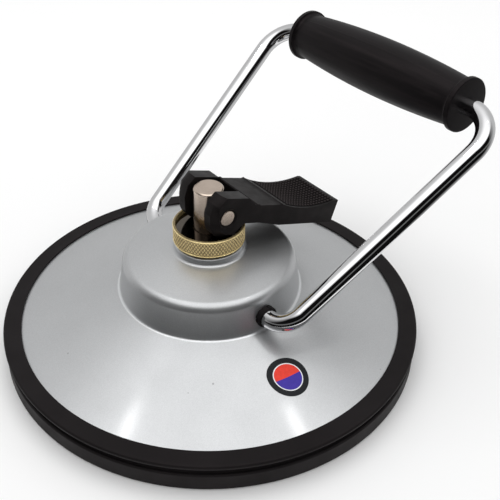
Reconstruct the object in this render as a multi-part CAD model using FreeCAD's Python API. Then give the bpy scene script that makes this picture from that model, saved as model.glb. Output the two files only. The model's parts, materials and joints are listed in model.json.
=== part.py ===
import FreeCAD
import Part
import math
import os

# Suction cup lifter, in millimetres. The origin is the centre of the pad's sealing plane, +Z is up,
# the cam lever and the leaning bail point along +X, and the lever's and the bail's pivots lie along Y.

# Fits
running = 0.05
slip = 0.05
rim_fit = 0.02
side_play = 0.6

# Rubber pad, drawn up by the locked lever
pad_radius = 100.0
pad_band_height = 9.0
pad_groove_height = 3.2
pad_groove_depth = 1.8
pad_lip_overhang = 0.4
pad_lip_bevel = 0.9
pad_lip_proud = 0.9
pad_face_width = 15.0
pad_membrane = 4.0
pad_stretch = 0.1
pad_under_lip = 9.0
pad_heel = 1.4

# Dish casting
dish_edge_cover = 4.5
dish_edge_height = 12.6
dish_lap = 3.5
dish_wall = 3.0
hub_base_radius = 43.5
hub_base_height = 29.0
hub_taper = 2.5
hub_shoulder_height = 45.8
hub_crown_height = 49.8
hub_shoulder_round = 4.5
hub_foot_round = 1.2
boss_wall = 2.4
boss_height = 52.9
boss_edge = 1.0
boss_foot_round = 2.0
boss_sleeve_bottom = 38.0

# Threaded bush pressed into the boss
bush_wall = 2.2
bush_flange_overhang = 3.0
bush_flange = 1.6
bush_below_boss = 0.5

# Adjusting collar with its guide sleeve and cam washer
collar_wall = 1.2
cup_clearance = 3.5
collar_gap = 1.2
collar_height = 8.8
collar_edge = 0.5
collar_shank_wall = 3.0
collar_shank_bottom = 41.0
sleeve_wall = 2.0
sleeve_top_recess = 1.0
washer_below_rim = 2.3
washer_thickness = 1.6
washer_play = 0.1

# Pull rod, plate and nut
rod_radius = 7.0
rod_top_chamfer = 0.6
rod_above_pin = 9.2
rod_bore_depth = 15.0
plate_radius = 50.0
plate_thickness = 3.0
plate_edge = 0.8
stud_radius = 5.0
stud_length = 18.0
nut_flats = 17.0
nut_height = 6.0

# Cam lever: an involute cam gives the same pull for each degree that the lever turns
lever_rest_angle = -20.0
lever_swing = 90.0
pull_stroke = 4.0
cam_rise = 12.0
cam_land = 0.8
pin_radius = 3.75
cam_half_width = 12.2
lever_half_width = 15.2
lever_tip_half_width = 14.4
lever_length = 70.2
lever_underside = -4.4
head_back = -8.4
head_top = 10.0
head_corner = 2.8
head_corner_drop = 4.3
head_end = 8.4
neck_start = 10.6
neck_end = 20.0
neck_underside = -2.6
handle_start = 33.0
head_back_bevel = 1.6
slot_reach = 5.6
slot_corner = 2.0
band_start = 15.4
band_length = 15.6
band_top = 6.9
band_rib = 1.2
band_proud = 0.6
rest_dip = 4.2
tip_top = 7.75
tip_corner = 2.0

# Bail, its grip and its bearings in the hub wall
wire_radius = 4.2
bail_pivot_height = 35.6
bail_rest_angle = 36.7
bail_length = 129.2
bail_foot_offset = 13.1
bail_splay = 8.25
bail_foot_bend = 12.0
bail_top_bend = 16.0
wire_stub = 2.7
grommet_wall = 0.5
grommet_flange = 0.4
grommet_outer_flange = 2.2
grommet_inner_flange = 2.0
end_washer_overhang = 1.6
end_washer = 1.2
end_clip_overhang = 1.3
end_clip = 1.0
grip_half_length = 53.6
grip_flange_radius = 13.0
grip_flange = 3.6
grip_end_radius = 11.6
grip_mid_radius = 14.1
grip_edge = 1.2

# Worked out from the sizes above
axis_x = FreeCAD.Vector(1, 0, 0)
axis_y = FreeCAD.Vector(0, 1, 0)
axis_z = FreeCAD.Vector(0, 0, 1)
origin = FreeCAD.Vector(0, 0, 0)
dish_edge_radius = pad_radius - dish_edge_cover
pad_lip_radius = pad_radius + pad_lip_overhang
pad_recess = pull_stroke - pad_stretch
hub_top_radius = hub_base_radius - hub_taper
sleeve_radius = rod_radius + sleeve_wall
collar_shank_radius = sleeve_radius + collar_shank_wall
bush_radius = collar_shank_radius + bush_wall
bush_flange_radius = bush_radius + bush_flange_overhang
boss_radius = bush_radius + boss_wall
collar_bore_radius = cam_half_width + cup_clearance
collar_radius = collar_bore_radius + collar_wall
dish_slope = (hub_base_height - dish_edge_height) / (dish_edge_radius - hub_base_radius)
dish_wall_drop = dish_wall / math.cos(math.atan(dish_slope))
hub_draft = (hub_base_radius - hub_top_radius) / (hub_shoulder_height - hub_base_height)
hub_wall_across = dish_wall / math.cos(math.atan(hub_draft))
crown_slope = (hub_crown_height - hub_shoulder_height) / (hub_top_radius - boss_radius)
pivot_wall_radius = hub_base_radius - hub_draft * (bail_pivot_height - hub_base_height)
collar_bottom = boss_height + collar_gap
collar_top = collar_bottom + collar_height
seat_height = collar_top - washer_below_rim
collar_floor = seat_height - washer_thickness - slip
pin_height = seat_height + cam_rise
rod_top = pin_height + rod_above_pin
plate_bottom = pad_recess + pad_membrane
plate_top = plate_bottom + plate_thickness
nut_top = plate_top + nut_height
cam_rate = pull_stroke / math.radians(lever_swing)
fork_half_gap = rod_radius + side_play
slot_end = rod_radius + slot_reach
grommet_neck = wire_radius + grommet_wall
bail_foot_half_width = pivot_wall_radius + bail_foot_offset
grommet_outer = pivot_wall_radius + grommet_outer_flange
grommet_inner = pivot_wall_radius - hub_wall_across - grommet_inner_flange
end_washer_inner = grommet_inner - slip - end_washer
end_clip_inner = end_washer_inner - end_clip
wire_end_half_width = end_clip_inner - wire_stub


def dish_surface(radius):
    """Height of the dish's cone, on its upper side, at a radius."""
    return hub_base_height - dish_slope * (radius - hub_base_radius)


def dish_underside(radius):
    """Height of the dish's cone, on its lower side, at a radius."""
    return dish_surface(radius) - dish_wall_drop


def outline(corners, closed=True):
    """Wire in the XZ plane through (x, z) or (x, z, rounding) corners, with tangent arcs at the roundings."""
    count = len(corners)
    places = [FreeCAD.Vector(c[0], 0, c[1]) for c in corners]
    entries = []
    leaves = []
    arcs = []
    for i, corner in enumerate(corners):
        rounding = corner[2] if len(corner) > 2 else 0
        if not rounding or (not closed and i in (0, count - 1)):
            entries.append(places[i])
            leaves.append(places[i])
            arcs.append(None)
            continue
        back = (places[i - 1] - places[i]).normalize()
        ahead = (places[(i + 1) % count] - places[i]).normalize()
        half_angle = back.getAngle(ahead) / 2
        tangent = rounding / math.tan(half_angle)
        middle = places[i] + (back + ahead).normalize() * (rounding / math.sin(half_angle) - rounding)
        entries.append(places[i] + back * tangent)
        leaves.append(places[i] + ahead * tangent)
        arcs.append(Part.Arc(entries[i], middle, leaves[i]).toShape())
    edges = []
    for i in range(count):
        if arcs[i]:
            edges.append(arcs[i])
        following = (i + 1) % count
        if not closed and following == 0:
            break
        if leaves[i].distanceToPoint(entries[following]) > 1e-6:
            edges.append(Part.makeLine(leaves[i], entries[following]))
    return Part.Wire(edges)


def turned(corners):
    """Solid of revolution about Z from (radius, z) corners."""
    return Part.Face(outline(corners)).revolve(origin, axis_z, 360)


def ring(inner, outer, bottom, top):
    """Plain ring about Z."""
    return turned([(inner, bottom), (outer, bottom), (outer, top), (inner, top)])


def along_y(shape):
    """Lays a shape that was made about Z along Y, its far end towards +Y."""
    return shape.rotate(origin, axis_x, -90)


def in_bail(shape):
    """Puts a shape made in the bail's own plane, X along its legs, where the bail leans at rest."""
    leaned = shape.rotate(origin, axis_y, -bail_rest_angle)
    return leaned.translate(FreeCAD.Vector(0, 0, bail_pivot_height))


def in_lever(shape):
    """Puts a shape made about the lever's pin, X along the lever, where the lever lies at rest."""
    tilted = shape.rotate(origin, axis_y, -lever_rest_angle)
    return tilted.translate(FreeCAD.Vector(0, 0, pin_height))


def make_dish():
    """One casting: sealing flange, drum hub, crown and boss, with the bail's two holes."""
    sleeve_outer = bush_flange_radius
    inner_base_radius = hub_base_radius - hub_wall_across
    inner_top_height = hub_shoulder_height - dish_wall
    inner_top_radius = hub_top_radius - hub_wall_across
    corners = [
        (bush_radius, boss_height),
        (boss_radius - boss_edge, boss_height),
        (boss_radius, boss_height - boss_edge),
        (boss_radius, hub_crown_height, boss_foot_round),
        (hub_top_radius, hub_shoulder_height, hub_shoulder_round),
        (hub_base_radius, hub_base_height, hub_foot_round),
        (dish_edge_radius, dish_edge_height),
        (dish_edge_radius, dish_underside(dish_edge_radius)),
        (inner_base_radius, dish_underside(inner_base_radius)),
        (inner_top_radius, inner_top_height),
        (sleeve_outer, inner_top_height + crown_slope * (inner_top_radius - sleeve_outer)),
        (sleeve_outer, boss_sleeve_bottom),
        (bush_radius, boss_sleeve_bottom),
    ]
    holes = along_y(Part.makeCylinder(grommet_neck, 4 * hub_base_radius))
    holes.translate(FreeCAD.Vector(0, -2 * hub_base_radius, bail_pivot_height))
    spared = Part.makeCylinder(sleeve_outer, boss_height)
    return turned(corners).cut(holes.cut(spared))


def make_rubber_pad():
    """One moulding: sealing face, outer band, groove, lip over the dish's edge, and drawn-up membrane."""
    lap_radius = dish_edge_radius - dish_lap
    seat_edge = dish_edge_radius + rim_fit
    lip_top = dish_surface(lap_radius) + pad_lip_proud
    groove_radius = pad_radius - pad_groove_depth
    groove_bottom = pad_band_height
    groove_top = groove_bottom + pad_groove_height
    under_lip_radius = lap_radius - pad_under_lip
    face_inner = pad_radius - pad_face_width
    centre_radius = plate_radius + pad_heel
    centre_top = pad_recess + pad_membrane
    corners = [
        (0, pad_recess),
        (centre_radius, pad_recess),
        (face_inner, 0),
        (pad_radius - pad_heel, 0),
        (pad_radius, pad_heel),
        (pad_radius, groove_bottom),
        (groove_radius, groove_bottom),
        (groove_radius, groove_top),
        (pad_lip_radius - pad_lip_bevel, groove_top),
        (pad_lip_radius, groove_top + pad_lip_bevel),
        (pad_lip_radius, lip_top - pad_lip_bevel),
        (pad_lip_radius - pad_lip_bevel, lip_top),
        (lap_radius, lip_top),
        (lap_radius, dish_surface(lap_radius) + rim_fit),
        (seat_edge, dish_surface(seat_edge) + rim_fit),
        (seat_edge, dish_underside(seat_edge) - rim_fit),
        (under_lip_radius, dish_underside(under_lip_radius) - rim_fit),
        (under_lip_radius - pad_heel, pad_membrane),
        (centre_radius, centre_top),
        (0, centre_top),
    ]
    return turned(corners)


def make_hub_bush():
    """Threaded bush pressed into the boss from below, held by its flange."""
    bore = collar_shank_radius + running
    top = boss_height - bush_below_boss
    return turned([
        (bore, boss_sleeve_bottom - bush_flange),
        (bush_flange_radius, boss_sleeve_bottom - bush_flange),
        (bush_flange_radius, boss_sleeve_bottom),
        (bush_radius, boss_sleeve_bottom),
        (bush_radius, top),
        (bore, top),
    ])


def make_collar():
    """Brass adjusting collar: a shallow cup for the cams over a threaded shank."""
    return turned([
        (sleeve_radius, collar_shank_bottom),
        (collar_shank_radius, collar_shank_bottom),
        (collar_shank_radius, collar_bottom),
        (collar_radius - collar_edge, collar_bottom),
        (collar_radius, collar_bottom + collar_edge),
        (collar_radius, collar_top - collar_edge),
        (collar_radius - collar_edge, collar_top),
        (collar_bore_radius, collar_top),
        (collar_bore_radius, collar_floor),
        (sleeve_radius, collar_floor),
    ])


def make_guide_sleeve():
    """Bearing sleeve in the collar's shank, which guides the pull rod."""
    return ring(rod_radius + running, sleeve_radius, collar_shank_bottom, collar_floor - sleeve_top_recess)


def make_cam_washer():
    """Polished thrust washer that the cams slide on."""
    inner = rod_radius + side_play / 2
    outer = collar_bore_radius - washer_play
    return ring(inner, outer, seat_height - washer_thickness, seat_height)


def make_pull_rod():
    """Round rod with the cross hole for the lever's pin and a threaded bore at its foot."""
    rod = turned([
        (0, nut_top + rod_bore_depth),
        (stud_radius, nut_top + rod_bore_depth),
        (stud_radius, nut_top),
        (rod_radius, nut_top),
        (rod_radius, rod_top - rod_top_chamfer),
        (rod_radius - rod_top_chamfer, rod_top),
        (0, rod_top),
    ])
    hole = along_y(Part.makeCylinder(pin_radius + running, 4 * rod_radius))
    return rod.cut(hole.translate(FreeCAD.Vector(0, -2 * rod_radius, pin_height)))


def make_pull_plate():
    """Steel plate bonded to the membrane, with its welded stud."""
    return turned([
        (0, plate_bottom),
        (plate_radius, plate_bottom),
        (plate_radius, plate_top - plate_edge),
        (plate_radius - plate_edge, plate_top),
        (stud_radius, plate_top),
        (stud_radius, plate_top + stud_length),
        (0, plate_top + stud_length),
    ])


def make_jam_nut():
    """Hexagon nut that locks the rod on the stud."""
    corner_radius = nut_flats / math.sqrt(3)
    corners = []
    for i in range(7):
        way = math.radians(60 * i)
        x = corner_radius * math.cos(way)
        y = corner_radius * math.sin(way)
        corners.append(FreeCAD.Vector(x, y, plate_top))
    hexagon = Part.Face(Part.makePolygon(corners)).extrude(FreeCAD.Vector(0, 0, nut_height))
    return hexagon.cut(Part.makeCylinder(stud_radius, nut_height, FreeCAD.Vector(0, 0, plate_top)))


def cam_way(turn):
    """Direction from the pin straight down to the washer, in the lever's own axes, at a turn in degrees."""
    return math.radians(-90 - lever_rest_angle - turn)


def cam_point(turn, inset):
    """Point of the cam that bears on the washer at a turn, drawn in towards the pin by the inset."""
    way = cam_way(turn)
    reach = cam_rise - slip - inset - cam_rate * math.radians(turn)
    x = reach * math.cos(way) - cam_rate * math.sin(way)
    z = reach * math.sin(way) + cam_rate * math.cos(way)
    return FreeCAD.Vector(x, 0, z)


def cam_tangent(turn):
    """Direction along the washer at the bearing point, towards the lever's tip."""
    way = cam_way(turn)
    return FreeCAD.Vector(-math.sin(way), 0, math.cos(way))


def lever_side(inset):
    """Side outline of the lever about its pin: cam head, ribbed band, hollow thumb rest and raised tip.

    The inset draws in the part of the head that dips into the collar, and bevels its back.
    """
    toe = cam_point(0, inset)
    nose = toe + cam_tangent(0) * cam_land
    heel = cam_point(lever_swing, inset)
    back_inset = min(inset, head_back_bevel)
    back = head_back + back_inset
    flat_way = cam_tangent(lever_swing)
    back_low = heel + flat_way * ((back - heel.x) / flat_way.x)
    band_end = band_start + band_length
    band_floor = band_top - band_proud
    rest_start = band_end + 2 * band_proud
    tip_start = lever_length - tip_corner
    upper = outline([
        (back_low.x, back_low.z),
        (back, head_top - head_corner_drop - back_inset / 2),
        (back + head_corner, head_top),
        (head_end, head_top),
        (band_start - band_proud, band_floor),
        (band_start, band_top),
        (band_start + band_rib, band_top),
        (band_start + band_rib + band_proud, band_floor),
        (band_end - 2 * band_proud, band_floor),
        (band_end, band_top),
        (rest_start, band_floor),
    ], closed=False)
    rest = Part.Arc(
        FreeCAD.Vector(rest_start, 0, band_floor),
        FreeCAD.Vector((rest_start + tip_start) / 2, 0, rest_dip),
        FreeCAD.Vector(tip_start, 0, tip_top),
    ).toShape()
    lower = outline([
        (tip_start, tip_top),
        (lever_length, tip_top, tip_corner / 2),
        (lever_length, lever_underside, tip_corner),
        (handle_start, lever_underside),
        (neck_end, neck_underside),
        (neck_start, neck_underside, tip_corner),
        (nose.x, nose.z),
        (toe.x, toe.z),
    ], closed=False)
    steps = 12
    curve = Part.BSplineCurve()
    curve.interpolate([cam_point(lever_swing * i / steps, inset) for i in range(steps + 1)])
    flat = Part.makeLine(heel, back_low)
    return Part.Wire(upper.Edges + [rest] + lower.Edges + [curve.toShape(), flat])


def at_side(wire, y):
    """Copy of a side outline, moved to a distance from the lever's middle plane."""
    return wire.copy().translate(FreeCAD.Vector(0, y, 0))


def plan_solid(corners):
    """Upright solid over (x, y) corners, taller than the lever."""
    wire = outline(corners)
    wire.rotate(origin, axis_x, -90)
    wire.translate(FreeCAD.Vector(0, 0, -lever_length))
    return Part.Face(wire).extrude(FreeCAD.Vector(0, 0, 2 * lever_length))


def make_lever():
    """Forked cam lever: side outline with bevelled head, plan outline, slot for the rod and pin hole."""
    full = lever_side(0)
    cheek = lever_half_width - cam_half_width
    core = Part.Face(at_side(full, -cam_half_width)).extrude(FreeCAD.Vector(0, 2 * cam_half_width, 0))
    cheeks = []
    for side in (-1, 1):
        inner = at_side(full, side * cam_half_width)
        outer = at_side(lever_side(cheek), side * lever_half_width)
        cheeks.append(Part.makeLoft([inner, outer], True, True))
    body = core.fuse(cheeks).removeSplitter()
    body = body.common(plan_solid([
        (-lever_length, -lever_half_width),
        (slot_end, -lever_half_width),
        (lever_length, -lever_tip_half_width, tip_corner),
        (lever_length, lever_tip_half_width, tip_corner),
        (slot_end, lever_half_width),
        (-lever_length, lever_half_width),
    ]))
    body = body.cut(plan_solid([
        (-lever_length, -fork_half_gap),
        (slot_end, -fork_half_gap, slot_corner),
        (slot_end, fork_half_gap, slot_corner),
        (-lever_length, fork_half_gap),
    ]))
    hole = along_y(Part.makeCylinder(pin_radius, 4 * lever_half_width))
    body = body.cut(hole.translate(FreeCAD.Vector(0, -2 * lever_half_width, 0)))
    return in_lever(body)


def make_lever_pin():
    """Plain pin, tight in the fork and free in the rod."""
    pin = along_y(Part.makeCylinder(pin_radius, 2 * lever_half_width))
    return pin.translate(FreeCAD.Vector(0, -lever_half_width, pin_height))


def make_bail():
    """Bent wire: two feet in the hub, two splayed legs and the bar inside the grip."""
    top_half_width = bail_foot_half_width + bail_length * math.tan(math.radians(bail_splay))
    path = outline([
        (0, -wire_end_half_width),
        (0, -bail_foot_half_width, bail_foot_bend),
        (bail_length, -top_half_width, bail_top_bend),
        (bail_length, top_half_width, bail_top_bend),
        (0, bail_foot_half_width, bail_foot_bend),
        (0, wire_end_half_width),
    ], closed=False)
    path.rotate(origin, axis_x, -90)
    section = Part.Wire(Part.makeCircle(wire_radius, FreeCAD.Vector(0, wire_end_half_width, 0), axis_y))
    return in_bail(path.makePipeShell([section], True, True))


def make_grip():
    """Barrel-shaped hand grip with a flange at each end, on the bail's bar."""
    shoulder = grip_half_length - grip_flange
    neck = shoulder - grip_edge
    head = [
        (wire_radius, -grip_half_length),
        (grip_flange_radius - grip_edge, -grip_half_length),
        (grip_flange_radius, grip_edge - grip_half_length),
        (grip_flange_radius, -shoulder),
        (grip_end_radius, -neck),
    ]
    lower = outline(head, closed=False)
    upper = outline([(r, -z) for r, z in head], closed=False)
    barrel = Part.Arc(
        FreeCAD.Vector(grip_end_radius, 0, -neck),
        FreeCAD.Vector(grip_mid_radius, 0, 0),
        FreeCAD.Vector(grip_end_radius, 0, neck),
    ).toShape()
    bore_end = FreeCAD.Vector(wire_radius, 0, grip_half_length)
    bore = Part.makeLine(FreeCAD.Vector(wire_radius, 0, -grip_half_length), bore_end)
    wire = Part.Wire(Part.__sortEdges__(lower.Edges + [barrel] + upper.Edges + [bore]))
    grip = along_y(Part.Face(wire).revolve(origin, axis_z, 360))
    return in_bail(grip.translate(FreeCAD.Vector(bail_length, 0, 0)))


def on_pivot(shape, side):
    """Moves a piece that was made along +Y at the origin to the bail's pivot, on side -1 or +1."""
    placed = shape.translate(FreeCAD.Vector(0, 0, bail_pivot_height))
    if side < 0:
        placed = placed.rotate(FreeCAD.Vector(0, 0, bail_pivot_height), axis_z, 180)
    return placed


def make_grommet(side, dish):
    """Rubber bearing bush in the hub's wall, with a flange on each side of it."""
    blank = ring(wire_radius + running, grommet_neck + grommet_flange, grommet_inner, grommet_outer)
    return on_pivot(along_y(blank), side).cut(dish)


def make_end_washer(side):
    """Washer on the wire's end, inside the hub."""
    blank = ring(wire_radius, wire_radius + end_washer_overhang, end_washer_inner, grommet_inner - slip)
    return on_pivot(along_y(blank), side)


def make_end_clip(side):
    """Push-on clip that keeps the washer and the wire's end in place."""
    blank = ring(wire_radius, wire_radius + end_clip_overhang, end_clip_inner, end_washer_inner)
    return on_pivot(along_y(blank), side)


def main():
    os.makedirs("parts", exist_ok=True)
    dish = make_dish()
    nodes = {
        "dish": dish,
        "rubber_pad": make_rubber_pad(),
        "hub_bush": make_hub_bush(),
        "collar": make_collar(),
        "guide_sleeve": make_guide_sleeve(),
        "cam_washer": make_cam_washer(),
        "pull_rod": make_pull_rod(),
        "pull_plate": make_pull_plate(),
        "jam_nut": make_jam_nut(),
        "lever": make_lever(),
        "lever_pin": make_lever_pin(),
        "bail": make_bail(),
        "grip": make_grip(),
    }
    for name, side in (("near", -1), ("far", 1)):
        nodes["bail_grommet_" + name] = make_grommet(side, dish)
        nodes["end_washer_" + name] = make_end_washer(side)
        nodes["end_clip_" + name] = make_end_clip(side)
    for name, shape in nodes.items():
        shape.exportStep("parts/" + name + ".step")


main()
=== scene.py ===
"""Looks of a hand suction lifter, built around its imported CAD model.

Everything is in metres, in the CAD model's own frame: the origin is the centre of the pad's sealing plane,
+Z is up, the cam lever and the leaning bail point along +X, and both of their pivots lie along Y.
"""

import json
import math

import bmesh
import bpy
from bmesh.types import BMEdge, BMVert
from bpy.props import FloatProperty, FloatVectorProperty, IntProperty, PointerProperty
from mathutils import Matrix, Vector


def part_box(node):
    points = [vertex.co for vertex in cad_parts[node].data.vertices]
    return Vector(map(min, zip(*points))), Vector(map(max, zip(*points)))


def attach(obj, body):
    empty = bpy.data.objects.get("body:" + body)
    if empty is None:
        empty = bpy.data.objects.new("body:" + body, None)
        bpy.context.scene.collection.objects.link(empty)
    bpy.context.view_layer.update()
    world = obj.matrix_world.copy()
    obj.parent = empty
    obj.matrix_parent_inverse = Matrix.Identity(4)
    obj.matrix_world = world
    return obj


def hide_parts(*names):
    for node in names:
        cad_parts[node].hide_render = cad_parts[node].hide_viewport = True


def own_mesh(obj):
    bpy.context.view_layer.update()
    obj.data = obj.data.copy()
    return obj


bl_info = {
    "name": "Suction Lifter",
    "version": (1, 0, 0),
    "blender": (4, 5, 0),
    "location": "View3D > Sidebar > Lifter",
    "description": "Builds the looks of a hand suction lifter around its CAD model",
    "category": "Object",
}

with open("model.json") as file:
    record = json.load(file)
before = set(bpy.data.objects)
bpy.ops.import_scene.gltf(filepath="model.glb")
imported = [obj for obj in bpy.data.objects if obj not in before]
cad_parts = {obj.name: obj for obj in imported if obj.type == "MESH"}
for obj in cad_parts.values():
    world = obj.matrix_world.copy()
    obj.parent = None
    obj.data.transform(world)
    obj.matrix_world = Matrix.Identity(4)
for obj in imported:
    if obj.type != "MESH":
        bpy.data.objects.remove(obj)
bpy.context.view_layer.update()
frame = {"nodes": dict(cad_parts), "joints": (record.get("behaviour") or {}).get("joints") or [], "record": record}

MM = 0.001
# Points nearer than this are welded
MERGE = 1e-7
# Tint of what the black surfaces reflect
WARM = (1.0, 0.86, 0.87, 1.0)
# Faces in a rounded corner
ROUND_STEPS = 6
# Faces around a wide turned piece
FINE = 192
# Edges that turn more than this stay sharp
SHARP = math.radians(32.0)
QUARTER = math.radians(90.0)

DISH_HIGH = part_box("dish")[1]
PAD_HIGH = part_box("rubber_pad")[1]
COLLAR_LOW, COLLAR_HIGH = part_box("collar")
WASHER_LOW, WASHER_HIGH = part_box("cam_washer")
ROD_LOW, ROD_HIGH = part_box("pull_rod")
PIN_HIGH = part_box("lever_pin")[1]
GROMMET_LOW, GROMMET_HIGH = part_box("bail_grommet_far")
PAINT = {row["slot"]: row["base_color"] for row in frame["record"]["materials"]}


def joint_place(name):
    """A point on a joint's axis, at rest."""
    return Vector(next(j["pos_m"] for j in frame["joints"] if j["name"] == name))


PIN_PLACE = joint_place("lever_turn")
PIVOT_PLACE = joint_place("bail_swing")


def length(name, description, default):
    """Property for a length in metres."""
    return FloatProperty(name=name, description=description, default=default, unit="LENGTH", precision=5)


def turn(name, description, degrees):
    """Property for an angle."""
    return FloatProperty(name=name, description=description, default=math.radians(degrees), subtype="ANGLE")


def tint(name, description, default):
    """Property for a colour."""
    return FloatVectorProperty(
        name=name, description=description, default=default, size=3, min=0.0, max=1.0, subtype="COLOR"
    )


class DishSizes(bpy.types.PropertyGroup):
    """The silver casting."""

    edge_radius: length("Edge radius", "Radius of the dish's outer edge", DISH_HIGH.x)
    edge_height: length("Edge height", "Top of the dish's outer edge", 12.6 * MM)
    wall: length("Wall", "Thickness of the casting", 3.0 * MM)
    hub_radius: length("Hub radius", "Radius of the hub at its foot", 43.5 * MM)
    hub_foot: length("Hub foot", "Height where the hub meets the cone", 29.0 * MM)
    shoulder_radius: length("Shoulder radius", "Radius of the hub at its shoulder", 41.0 * MM)
    shoulder_height: length("Shoulder height", "Height of the hub's shoulder", 45.8 * MM)
    shoulder_round: length("Shoulder rounding", "Rounding of the hub's shoulder", 4.5 * MM)
    foot_round: length("Foot rounding", "Rounding at the hub's foot", 1.2 * MM)
    crown_height: length("Crown height", "Height where the crown meets the boss", 49.8 * MM)
    boss_radius: length("Boss radius", "Radius of the boss under the collar", 16.6 * MM)
    boss_edge: length("Boss edge", "Rounding of the boss's upper edge", 1.0 * MM)
    boss_foot: length("Boss foot rounding", "Rounding at the boss's foot", 2.0 * MM)
    boss_bore: length("Boss bore", "Radius of the bore for the threaded bush", 14.2 * MM)
    sleeve_radius: length("Sleeve radius", "Radius of the boss inside the hub", 17.2 * MM)
    sleeve_bottom: length("Sleeve bottom", "Lower end of the boss inside the hub", 38.0 * MM)


class PadSizes(bpy.types.PropertyGroup):
    """The rubber pad."""

    radius: length("Radius", "Radius of the lower band", 100.0 * MM)
    heel: length("Heel", "Rounding of the band's lower edge", 1.4 * MM)
    band_height: length("Band height", "Height of the lower band", 9.0 * MM)
    groove_height: length("Groove height", "Height of the outer groove", 3.2 * MM)
    groove_depth: length("Groove depth", "Depth of the outer groove", 1.8 * MM)
    lip_inner: length("Lip inner radius", "Radius where the lip ends on the dish", 92.0 * MM)
    lip_round: length("Lip rounding", "Rounding of the lip's outer edge", 1.15 * MM)
    fit: length("Fit", "Clearance between rubber and dish", 0.02 * MM)
    under_lip: length("Under lip", "Radius where the lower lip ends under the dish", 83.0 * MM)
    face_inner: length("Face inner radius", "Inner radius of the sealing face", 85.0 * MM)
    plate_radius: length("Plate radius", "Radius of the drawn-up middle", 51.4 * MM)
    recess: length("Recess", "Depth of the drawn-up middle", 3.9 * MM)
    membrane: length("Membrane", "Thickness of the membrane", 2.9 * MM)
    bend: length("Bend", "Rounding where the membrane bends", 25.0 * MM)


class CollarSizes(bpy.types.PropertyGroup):
    """The knurled brass collar."""

    edge: length("Edge", "Chamfer of the collar's edges", 0.5 * MM)
    bottom: length("Bottom", "Underside of the knurled rim", 54.1 * MM)
    bore: length("Bore", "Inner radius of the cup", 15.7 * MM)
    shank_radius: length("Shank radius", "Radius of the threaded shank", 12.0 * MM)
    shank_bore: length("Shank bore", "Inner radius of the shank", 9.0 * MM)
    plain_rim: length("Plain rim", "Height of the plain strip over and under the knurl", 0.35 * MM)
    knurl_depth: length("Knurl depth", "Depth of the diamond knurl", 0.35 * MM)
    knurl_count: IntProperty(name="Knurl count", description="Diamonds around the rim", default=68)
    knurl_rows: IntProperty(name="Knurl rows", description="Diamonds over the rim's height", default=3)
    thread_depth: length("Thread depth", "Depth of the shank's thread", 0.6 * MM)
    thread_pitch: length("Thread pitch", "Pitch of the shank's thread", 1.5 * MM)


class LeverSizes(bpy.types.PropertyGroup):
    """The forked cam lever, about its pin."""

    rest_angle: turn("Rest angle", "How far the locked lever points down", 20.0)
    cam_half_width: length("Cam half width", "Half the distance over the cams", 12.2 * MM)
    half_width: length("Half width", "Half the lever's width at the fork", PIN_HIGH.y)
    tip_half_width: length("Tip half width", "Half the lever's width at its tip", 14.4 * MM)
    reach: length("Reach", "Length from the pin to the tip", 70.2 * MM)
    underside: length("Underside", "Height of the handle's underside", -4.4 * MM)
    neck: length("Neck", "Height of the underside beside the collar", -2.6 * MM)
    head_back: length("Head back", "Back of the cam head", -8.4 * MM)
    head_top: length("Head top", "Top of the cam head", 10.0 * MM)
    back_bevel: length("Back bevel", "Bevel on the back of the head", 1.6 * MM)
    fork_gap: length("Fork gap", "Half the gap between the fork's arms", 7.6 * MM)
    fork_end: length("Fork end", "Where the gap ends", 12.6 * MM)
    cam_rise: length("Cam rise", "Height of the pin over the washer, with the lever locked", 11.95 * MM)
    stroke: length("Stroke", "How far the cam lets the rod drop", 4.0 * MM)
    swing: turn("Swing", "Turn from locked to released", 90.0)
    band_start: length("Band start", "Start of the band's rib", 15.4 * MM)
    band_end: length("Band end", "Ridge between the band and the thumb rest", 31.0 * MM)
    band_top: length("Band top", "Top of rib and ridge", 6.9 * MM)
    band_step: length("Band step", "How far rib and ridge stand up", 0.6 * MM)
    band_rib: length("Band rib", "Width of the rib", 1.2 * MM)
    rest_dip: length("Rest dip", "Lowest point of the thumb rest", 4.2 * MM)
    tip_top: length("Tip top", "Top of the raised tip", 7.75 * MM)
    smooth_strip: length("Smooth strip", "Smooth strip between the ridge and the checkering", 3.6 * MM)
    check_pitch: length("Checkering pitch", "Distance between the thumb rest's points", 1.9 * MM)
    check_height: length("Checkering height", "Height of the thumb rest's points", 0.8 * MM)


class BailSizes(bpy.types.PropertyGroup):
    """The chromed wire and its grip."""

    lean: turn("Lean", "How far the bail stands up at rest", 36.7)
    wire: length("Wire radius", "Radius of the wire", 4.2 * MM)
    wire_end: length("Wire end", "Half the distance between the wire's ends", 32.535 * MM)
    foot: length("Foot", "Half the distance between the feet", 55.618 * MM)
    splay: turn("Splay", "Angle between a leg and the middle", 8.25)
    leg: length("Leg", "Distance from the pivot to the grip's axis", 129.2 * MM)
    foot_bend: length("Foot bend", "Bend radius at the feet", 12.0 * MM)
    top_bend: length("Top bend", "Bend radius beside the grip", 16.0 * MM)
    grip_half: length("Grip half length", "Half the grip's length", 53.6 * MM)
    flange_radius: length("Flange radius", "Radius of the grip's flanges", 13.0 * MM)
    flange: length("Flange", "Thickness of the flanges' edge", 2.6 * MM)
    grip_end: length("Grip end radius", "Radius of the grip beside its flanges", 11.6 * MM)
    grip_middle: length("Grip middle radius", "Radius of the grip in its middle", 14.1 * MM)
    grip_edge: length("Grip edge", "Rounding of the flanges", 0.6 * MM)
    flare: length("Flare", "Length of the flare between barrel and flange", 2.4 * MM)
    seam_turn: turn("Seam", "Where the moulding seam runs, from +X towards +Z", 117.0)
    seam_height: length("Seam height", "Height of the moulding seam", 0.1 * MM)
    grommet_wall: length("Grommet wall", "Room for the grommets around the wire", 0.5 * MM)


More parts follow.
